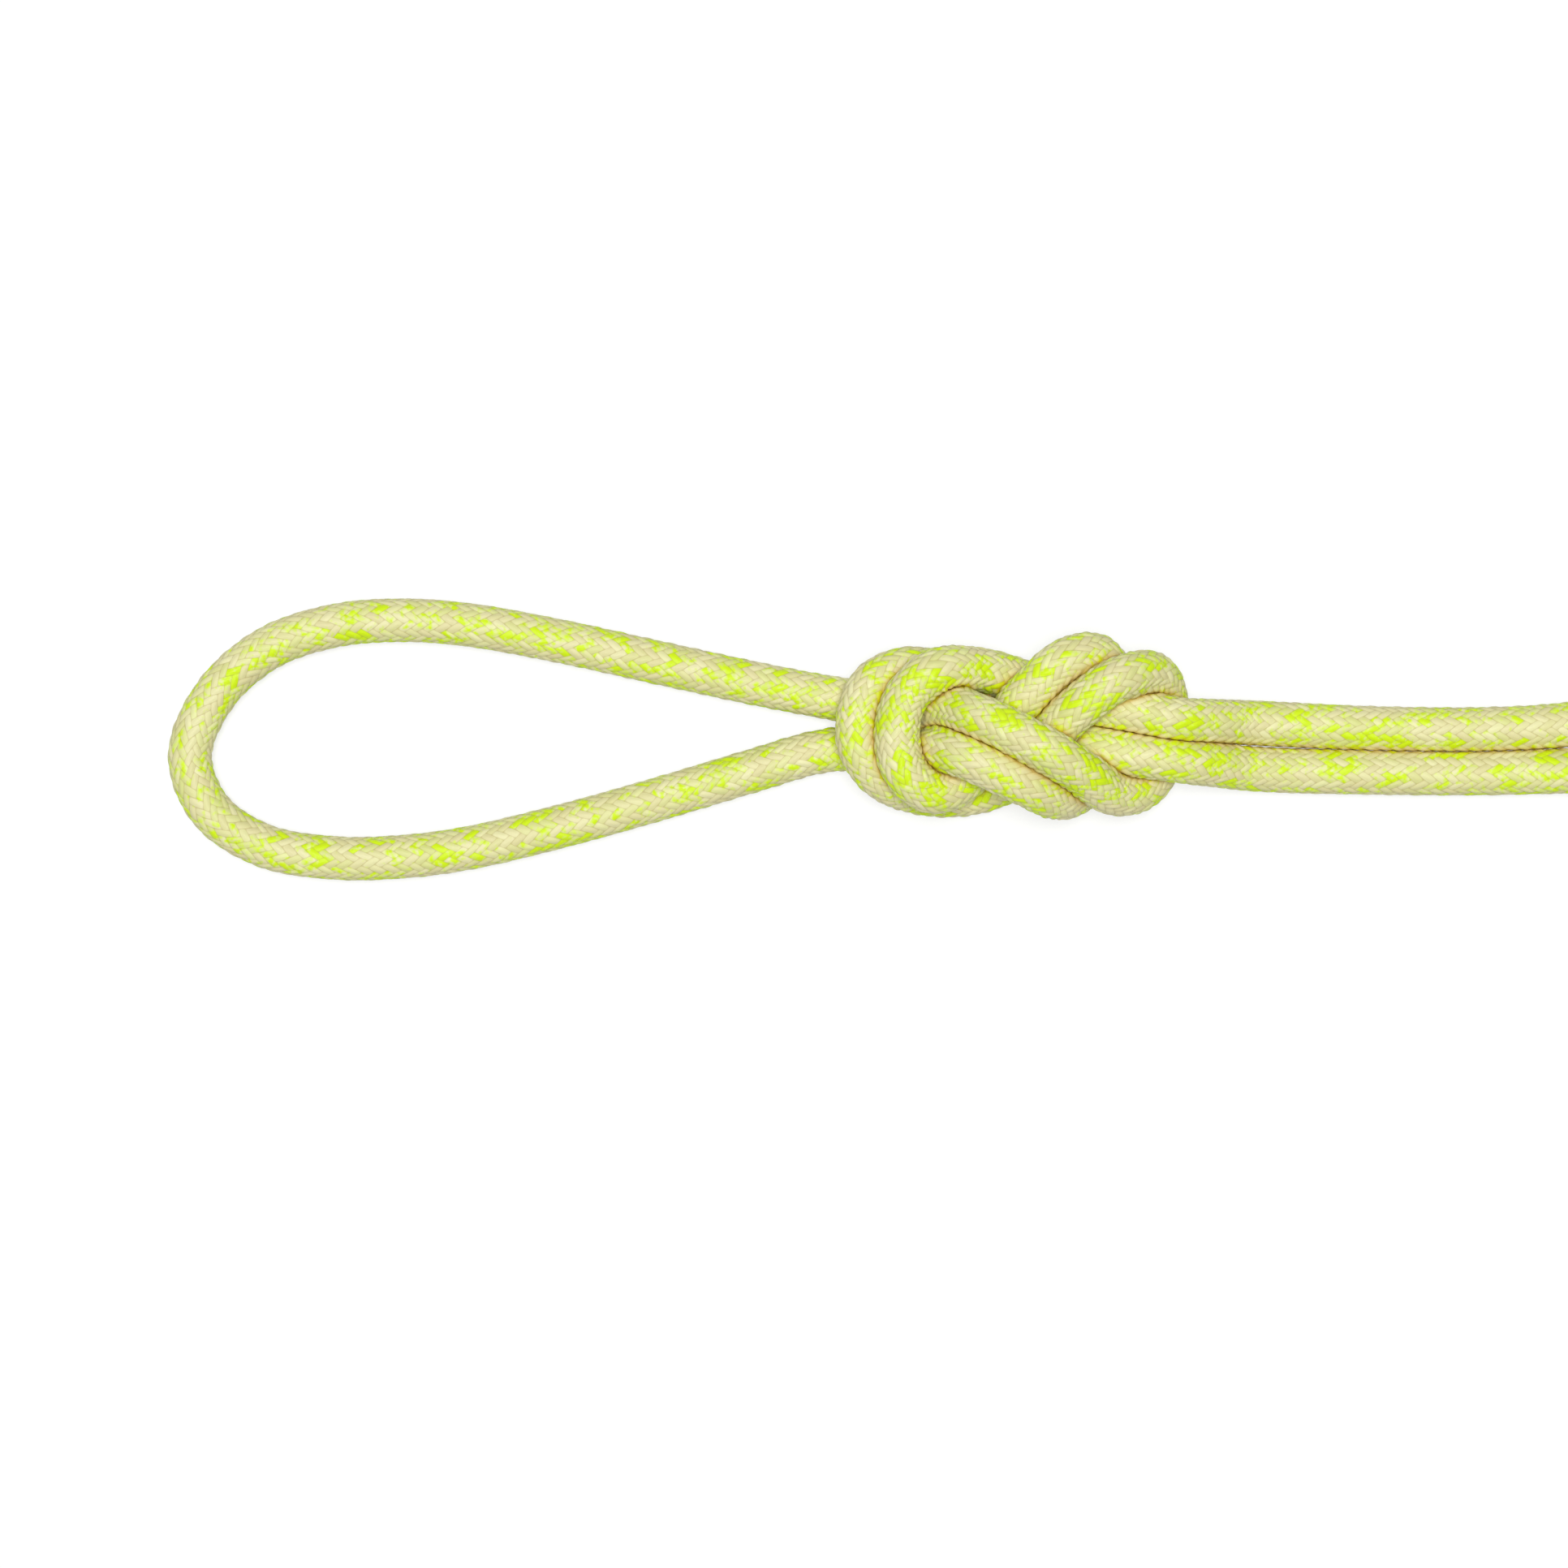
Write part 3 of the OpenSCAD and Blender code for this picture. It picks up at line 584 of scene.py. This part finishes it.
stretch_nodes = (
    ("tail_rope", "tail_sheath"),
    ("knot_tail_pass_rope", "knot_tail_pass_sheath"),
    ("eye_rope", "eye_sheath"),
    ("knot_standing_pass_rope", "knot_standing_pass_sheath"),
    ("standing_rope", "standing_sheath"),
)
under_next = 0.00003
for k, (name, node) in enumerate(stretch_nodes):
    # The sheath runs on from piece to piece, so each goes one ring further, just under the next
    first, last = max(stretch_starts[k] - 1, 0), min(stretch_starts[k + 1] + 1, ring_count - 1)
    part = slice(first, last + 1)
    radii = surface_r[part].copy()
    if k > 0:
        radii[0] -= under_next
    if k < len(stretch_nodes) - 1:
        radii[-1] -= under_next
    piece = tube_mesh(
        name, rings_at[part], rings_side[part], rings_up[part], radii,
        braid_x[part] / yarn_columns, braid_y[part], rings_crease_shade[part])
    piece.data.materials.append(sheath_material)
    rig.ride(piece, "root")
    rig.replaces(piece, node)
    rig.slot(piece, "sheath")
    # The cord's path is its rings' middles, thinned out, and closer together in the knot
    is_tail, knotted = k == 0, k % 2 == 1
    whole_way = rings_at[stretch_starts[k]:stretch_starts[k + 1] + 1]
    way = np.vstack((whole_way[:-6:4 if knotted else 12], whole_way[-1:]))
    if is_tail:
        way = way[::-1]
    end_pieces = [frame["nodes"][n] for n in ("tail_sleeve", "tail_sealed_end")]
    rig.cord(
        piece, exit=way[0], length=lengths_along(way)[-1], diameter=2 * rope_r,
        far_end="bare" if is_tail else "object", stiffness="medium",
        lay="taut" if knotted else "loose", path=way,
        with_pieces=end_pieces if is_tail else (),
    )


# --- The rope in the hank ---------------------------------------------------------------------
# The rest of the rope, wound flat and tight: across the bottom from the outside in, up and down
# through the middle of the bundle, out across the top and down the outside. A strap draws the
# runs in at the waist.
turn_step, layer_step = 0.0105, 0.0102
waist_in, waist_up = 0.014, 0.003151
last_turn = 42.7
ways_in_and_out = [
    (0, 3), (3, 0), (3.5, 0), (3.75, 1), (4.5, 1), (4.75, 2), (13.5, 2), (13.75, 1),
    (21.5, 1), (21.75, 0), (30.25, 0), (33, 3),
]
ways_up_and_down = [(3, 0), (3.25, 1)]
# First turn, number of turns, layer they start from, and whether they climb or go down
climbs = ((5, 9, 1, 1), (14, 8, 10, -1), (22, 9, 2, 1), (33, 10, 11, -1))
for first_turn, turns, layer, way_up in climbs:
    for turn in range(turns):
        ways_up_and_down += [
            (first_turn + turn, layer + way_up * turn),
            (first_turn + turn + 0.25, layer + way_up * (turn + 1)),
        ]


def hank_point(u):
    share = u % 1
    fold = fold_in + turn_step * np.interp(u, *zip(*ways_in_and_out))
    layer = np.interp(u, *zip(*ways_up_and_down))
    step = layer % 1
    z = layer_step * (layer - step + step * step * (3 - 2 * step))
    half = run_length / 2
    if share % 0.5 < 0.25:
        x = half * (8 * (share % 0.5) - 1)
        drawn = (1 + math.cos(math.pi * x / half)) / 2
        x, y, z = x, fold - waist_in * drawn, z + waist_up * drawn
    else:
        angle = math.pi / 2 - 4 * math.pi * (share % 0.5 - 0.25)
        x, y = half + fold * math.cos(angle), fold * math.sin(angle)
    if share >= 0.5:
        x, y = -x, -y
    return hank_middle + (x, y, z)


run_rings, fold_rings = 20, 26
quarter_shares = np.concatenate((
    np.arange(run_rings) / run_rings, 1 + np.arange(fold_rings) / fold_rings)) / 4
hank_turns = np.concatenate([h / 2 + quarter_shares for h in range(int(2 * last_turn) + 1)])
hank_turns = np.append(hank_turns[hank_turns < last_turn - 0.001], last_turn)
hank_way = np.array([hank_point(u) for u in hank_turns])
last_ahead = (hank_way[-1] - hank_point(last_turn - 0.025))
last_ahead /= np.linalg.norm(last_ahead)
hank_way = np.vstack((rope_join, hank_way, hank_way[-1] + 2 * rope_r * last_ahead))
hank_ahead = directions_of(hank_way)
hank_side = np.cross((0.0, 0.0, 1.0), hank_ahead)
hank_side /= np.linalg.norm(hank_side, axis=1)[:, None]
hank_up = np.cross(hank_ahead, hank_side)
hank_lengths = lengths_along(hank_way)
rope_length = fine_lengths[-1] + hank_lengths[-1]
print("Length of the rope: %.3f m, %.3f m of it in the hank" % (rope_length, hank_lengths[-1]))

# The braid goes on from the standing part without a turn or a step
hank_round = 20
join_angle = math.atan2(hank_side[0].dot(rings_up[-1]), hank_side[0].dot(rings_side[-1]))
hank_x, hank_y = braid_laid(
    yarns_passed[-1] + hank_lengths[:, None] / yarn_pitch,
    join_angle + 2 * math.pi * np.arange(hank_round)[None, :] / hank_round)
hank_rope = tube_mesh(
    "hank_rope", hank_way, hank_side, hank_up, np.full((len(hank_way), hank_round), rope_r),
    hank_x / yarn_columns, hank_y)
hank_rope.data.materials.append(braid_material("braided_sheath_in_hank", 0.8))
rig.ride(hank_rope, "root")
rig.replaces(hank_rope, "hank_winding", "hank_heart")
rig.slot(hank_rope, "sheath")
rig.cord(
    hank_rope, exit=rope_join, length=hank_lengths[-1], diameter=2 * rope_r, far_end="bare",
    stiffness="medium", lay="coiled", path=hank_way[::2].tolist() + [hank_way[-1]],
    with_pieces=[frame["nodes"]["far_sleeve"], frame["nodes"]["far_sealed_end"]])


# --- Ends -------------------------------------------------------------------------------------
# Each end is cut hot, which melts sheath and core into one hard cap, and a plain dark sleeve is
# shrunk over the last stretch to keep the braid from opening.
def melted_material():
    s = Shader("melted_end")
    place = s.add("ShaderNodeTexCoord").outputs["Object"]
    blot = s.noise(place, 420.0, 3.0)
    s.put(s.surface.inputs["Base Color"], s.mix(blot, paint(150, 128, 74), paint(206, 200, 140)))
    s.surface.inputs["Roughness"].default_value = 0.32
    bump = s.add("ShaderNodeBump", {}, {"Height": blot, "Distance": 0.0004, "Strength": 0.7})
    s.put(s.surface.inputs["Normal"], bump.outputs[0])
    return s.material


def sleeve_material():
    s = Shader("shrunk_sleeve")
    place = s.add("ShaderNodeTexCoord").outputs["Object"]
    grain, cloud = s.noise(place, 900.0, 2.0), s.noise(place, 90.0, 2.0)
    s.put(s.surface.inputs["Base Color"], s.mix(cloud, paint(38, 42, 44), paint(60, 64, 66)))
    s.put(s.surface.inputs["Roughness"], cloud * 0.2 + 0.3)
    bump = s.add("ShaderNodeBump", {}, {"Height": grain, "Distance": 0.0002, "Strength": 0.35})
    s.put(s.surface.inputs["Normal"], bump.outputs[0])
    return s.material


def set_material(name, material):
    materials = frame["nodes"][name].data.materials
    materials.clear()
    materials.append(material)


for end in ("tail", "far"):
    set_material(end + "_sealed_end", melted_material())
for end in ("tail", "far"):
    set_material(end + "_sleeve", sleeve_material())


# --- Core -------------------------------------------------------------------------------------
# Twelve strands of twisted polyamide yarn fill the sheath. They show in the tail's end as single
# strands and further on as one core.
def core_material():
    s = Shader("twisted_core_yarn")
    place = s.add("ShaderNodeTexCoord").outputs["Object"]
    parts = s.add("ShaderNodeSeparateXYZ", {}, {0: place})
    x, y, z = (Value(s, parts.outputs[k]) for k in range(3))
    twist = (x * 900 + (y + z) * 1500).math("SINE") * 0.5 + 0.5
    s.put(s.surface.inputs["Base Color"], s.mix(twist, paint(214, 212, 200), paint(240, 239, 230)))
    s.surface.inputs["Roughness"].default_value = 0.6
    bump = s.add("ShaderNodeBump", {}, {"Height": twist, "Distance": 0.0002, "Strength": 0.6})
    s.put(s.surface.inputs["Normal"], bump.outputs[0])
    return s.material


yarn = core_material()
for name in frame["nodes"]:
    if "core" in name:
        set_material(name, yarn)


# --- Strap ------------------------------------------------------------------------------------
# A flat woven band of polyamide webbing holds the hank at its waist. Its end laps over the top
# and is held by hook-and-loop tape, which a box of thread stitches sews to it.
strap_width, strap_thick, strap_round = 0.025, 0.0015, 0.006
strap_half, strap_high, lap_length = 0.05399, 0.1243, 0.048
hank_x = hank_middle[0]
webbing_rib = strap_width / 20


def rib_height(x):
    """How far the webbing's surface stands out, x to the side of the band's middle."""
    return 0.00009 * math.cos(2 * math.pi * x / webbing_rib)


def webbing_material(name, dark, light):
    s = Shader(name)
    uv = s.add("ShaderNodeSeparateXYZ", {}, {
        0: s.add("ShaderNodeUVMap", {"uv_map": "UVMap"}).outputs[0]})
    u, v = Value(s, uv.outputs[0]), Value(s, uv.outputs[1])
    # A plain weave: warp threads along the band, pushed up in turn by the weft under them
    warp = (u / webbing_rib + 0.5).wrapped(1)
    weft = (v * 620 + (u / webbing_rib + 0.5).floor() * 0.5).wrapped(1)
    rib = (warp * math.pi).math("SINE") * (weft * math.pi).math("SINE").math("POWER", 0.6)
    blot = s.noise(s.vector(u * 60, v * 60, 0.0), 1.0, 3.0)
    s.put(s.surface.inputs["Base Color"], s.mix(rib * 0.7 + blot * 0.3, dark, light))
    s.surface.inputs["Roughness"].default_value = 0.62
    s.surface.inputs["Sheen Weight"].default_value = 0.15
    bump = s.add("ShaderNodeBump", {}, {"Height": rib, "Distance": 0.0003, "Strength": 0.8})
    s.put(s.surface.inputs["Normal"], bump.outputs[0])
    return s.material


webbing = webbing_material("dark_webbing", paint(30, 33, 35), paint(74, 79, 82))

# Middle line of the band round the waist, from the middle of its top
low = strap_thick / 2
half, high, turn_r = strap_half + low, strap_high + low, strap_round + low
corner_middles = [(half - turn_r, high - turn_r, 90), (half - turn_r, low + turn_r, 0),
                  (turn_r - half, low + turn_r, -90), (turn_r - half, high - turn_r, -180)]
band_line = [(0.0, high)]
for y, z, start in corner_middles:
    for k in range(9):
        a = math.radians(start - 90 * k / 8)
        band_line.append((y + turn_r * math.cos(a), z + turn_r * math.sin(a)))
band_line = np.array(band_line + [(0.0, high)])
band_lengths = lengths_along(band_line)


def band_point(v):
    return [np.interp(v, band_lengths, band_line[:, k]) for k in range(2)]


def webbing_piece(name, mesh_builder, middle):
    mesh = bpy.data.meshes.new(name)
    mesh_builder.to_mesh(mesh)
    mesh_builder.free()
    mesh.polygons.foreach_set("use_smooth", [True] * len(mesh.polygons))
    piece = bpy.data.objects.new(name, mesh)
    bpy.context.collection.objects.link(piece)
    thick = piece.modifiers.new("thickness", "SOLIDIFY")
    thick.thickness = strap_thick
    thick.offset = middle
    edge = piece.modifiers.new("soft_edges", "BEVEL")
    edge.width = 0.0005
    edge.segments = 2
    mesh.materials.append(webbing)
    return piece


band = bmesh.new()
uv_layer = band.loops.layers.uv.new("UVMap")
rows = np.unique(np.concatenate((band_lengths, np.linspace(0, band_lengths[-1], 100))))
across_band = strap_width * (np.arange(81) / 80 - 0.5)
first_row = [band.verts.new((hank_x + x, 0.0, high + rib_height(x))) for x in across_band]
for a, b in zip(first_row, first_row[1:]):
    band.edges.new((a, b))
edges = band.edges[:]
short_way = 0.0005
for v0, v1 in zip(rows, rows[1:]):
    made = bmesh.ops.extrude_edge_only(band, edges=edges)["geom"]
    edges = [g for g in made if isinstance(g, bmesh.types.BMEdge)
             and all(v in made for v in g.verts)]
    y, z = band_point(v1)
    y0, z0 = band_point(v1 - short_way)
    y1, z1 = band_point(v1 + short_way)
    if v1 == rows[-1]:
        y0, z0, y1, z1 = -1.0, 0.0, 0.0, 0.0
    step = math.hypot(y1 - y0, z1 - z0)
    for vert in (g for g in made if isinstance(g, bmesh.types.BMVert)):
        rib = rib_height(vert.co.x - hank_x)
        vert.co.y = y - rib * (z1 - z0) / step
        vert.co.z = max(z + rib * (y1 - y0) / step, low)
    for face in (g for g in made if isinstance(g, bmesh.types.BMFace)):
        for loop in face.loops:
            new = loop.vert in made
            loop[uv_layer].uv = (loop.vert.co.x - hank_x, v1 if new else v0)
bmesh.ops.remove_doubles(band, verts=band.verts[:], dist=1e-6)
bmesh.ops.recalc_face_normals(band, faces=band.faces[:])
strap = webbing_piece("strap_band", band, 0.0)
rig.ride(strap, "root")
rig.replaces(strap, "hank_strap")
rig.slot(strap, "strap")

lap = bmesh.new()
lap.loops.layers.uv.new("UVMap")
bmesh.ops.create_grid(lap, x_segments=80, y_segments=24, size=0.5)
bmesh.ops.scale(lap, vec=(strap_width, lap_length, 1.0), verts=lap.verts[:])
bmesh.ops.translate(lap, vec=(hank_x, 0.0, strap_high + strap_thick), verts=lap.verts[:])
for vert in lap.verts:
    vert.co.z += rib_height(vert.co.x - hank_x)
for face in lap.faces:
    for loop in face.loops:
        loop[lap.loops.layers.uv.active].uv = (loop.vert.co.x - hank_x, loop.vert.co.y)
lap_piece = webbing_piece("strap_lap", lap, 1.0)
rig.ride(lap_piece, "root")
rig.replaces(lap_piece, "strap_closure")
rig.slot(lap_piece, "strap")

stitch_pitch, stitch_length, stitch_thick = 0.0032, 0.0026, 0.0005
seam_half_w, seam_half_l = 0.0096, lap_length / 2 - 0.0032
seam = [(side * seam_half_w, k * stitch_pitch, 90) for side in (-1, 1) for k in range(-6, 7)]
seam += [
    ((k - 2.5) * stitch_pitch, end * seam_half_l, 0) for end in (-1, 1) for k in range(6)]
stitches = bmesh.new()
for x, y, turned in seam:
    bmesh.ops.create_uvsphere(
        stitches, u_segments=10, v_segments=8, radius=0.5,
        matrix=Matrix.Translation((hank_x + x, y, strap_high + 2 * strap_thick + 0.0001))
        @ Matrix.Rotation(math.radians(turned), 4, "Z")
        @ Matrix.Diagonal((stitch_length, stitch_thick, stitch_thick, 1.0)))
stitch_mesh = bpy.data.meshes.new("lap_stitches")
stitches.to_mesh(stitch_mesh)
stitches.free()
stitch_mesh.polygons.foreach_set("use_smooth", [True] * len(stitch_mesh.polygons))
lap_stitches = bpy.data.objects.new("lap_stitches", stitch_mesh)
bpy.context.collection.objects.link(lap_stitches)
s = Shader("sewing_thread")
place = s.add("ShaderNodeSeparateXYZ", {}, {
    0: s.add("ShaderNodeTexCoord").outputs["Object"]})
ply = ((Value(s, place.outputs[0]) + Value(s, place.outputs[1])) * 14000).math("SINE") * 0.5 + 0.5
s.put(s.surface.inputs["Base Color"], s.mix(ply, paint(128, 132, 134), paint(176, 180, 180)))
s.surface.inputs["Roughness"].default_value = 0.5
stitch_mesh.materials.append(s.material)
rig.ride(lap_stitches, "root")
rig.slot(lap_stitches, "strap")


# --- Floor and light --------------------------------------------------------------------------
# A plain white floor that runs on as the background, under soft studio light from overhead.
floor_mesh = bmesh.new()
bmesh.ops.create_grid(floor_mesh, x_segments=2, y_segments=2, size=6.0)
# A hair below the rope's flat underside
bmesh.ops.translate(floor_mesh, vec=(0.0, 0.0, -0.0002), verts=floor_mesh.verts[:])
floor_data = bpy.data.meshes.new("floor")
floor_mesh.to_mesh(floor_data)
floor_mesh.free()
floor = bpy.data.objects.new("floor", floor_data)
bpy.context.collection.objects.link(floor)
s = Shader("white_floor")
s.surface.inputs["Roughness"].default_value = 0.9
light_path = s.add("ShaderNodeLightPath")
seen = s.math("MAXIMUM", Value(s, light_path.outputs["Is Camera Ray"]), s.math(
    "MAXIMUM", Value(s, light_path.outputs["Is Glossy Ray"]),
    Value(s, light_path.outputs["Is Transmission Ray"])))
s.put(s.surface.inputs["Base Color"], s.mix(
    seen, (0.66, 0.66, 0.66, 1.0), (0.98, 0.98, 0.98, 1.0)))
glow = s.add("ShaderNodeEmission", {}, {"Color": (1.0, 1.0, 1.0, 1.0), "Strength": 1.0})
blend = s.add("ShaderNodeMixShader", {}, {
    0: seen * 0.68, 1: s.surface.outputs[0], 2: glow.outputs[0]})
s.put(s.nodes["Material Output"].inputs[0], blend.outputs[0])
floor_data.materials.append(s.material)
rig.stage(floor)

world = bpy.data.worlds.new("studio")
bpy.context.scene.world = world
world.use_nodes = True
background = world.node_tree.nodes["Background"]
background.inputs["Color"].default_value = (1.0, 1.0, 1.0, 1.0)
# Weak as light, and about as bright as the floor far off where the camera sees past it
world_path = world.node_tree.nodes.new("ShaderNodeLightPath")
strength = world.node_tree.nodes.new("ShaderNodeMath")
strength.operation = "MULTIPLY_ADD"
strength.inputs[1].default_value = 0.5
strength.inputs[2].default_value = 0.25
world.node_tree.links.new(world_path.outputs["Is Camera Ray"], strength.inputs[0])
world.node_tree.links.new(strength.outputs[0], background.inputs["Strength"])


def soft_lamp(name, at, aim, size, power):
    data = bpy.data.lights.new(name, "AREA")
    data.shape = "DISK"
    data.size = size
    data.energy = power
    lamp = bpy.data.objects.new(name, data)
    lamp.location = at
    ahead = np.array(aim) - np.array(at)
    lamp.rotation_euler = (math.acos(-ahead[2] / np.linalg.norm(ahead)), 0.0,
                           math.atan2(-ahead[0], ahead[1]))
    bpy.context.collection.objects.link(lamp)


soft_lamp("overhead_softbox", (-0.25, 0.12, 3.0), (-0.15, 0.0, 0.0), 1.4, 84.0)
bpy.context.scene.view_settings.view_transform = "Standard"


# --- Size -------------------------------------------------------------------------------------
visual_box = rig.bounds()
with open("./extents.json", "w") as out:
    json.dump({
        "cad": [[float(v) for v in corner] for corner in cad_box],
        "visual": [[float(v) for v in corner] for corner in visual_box],
    }, out)
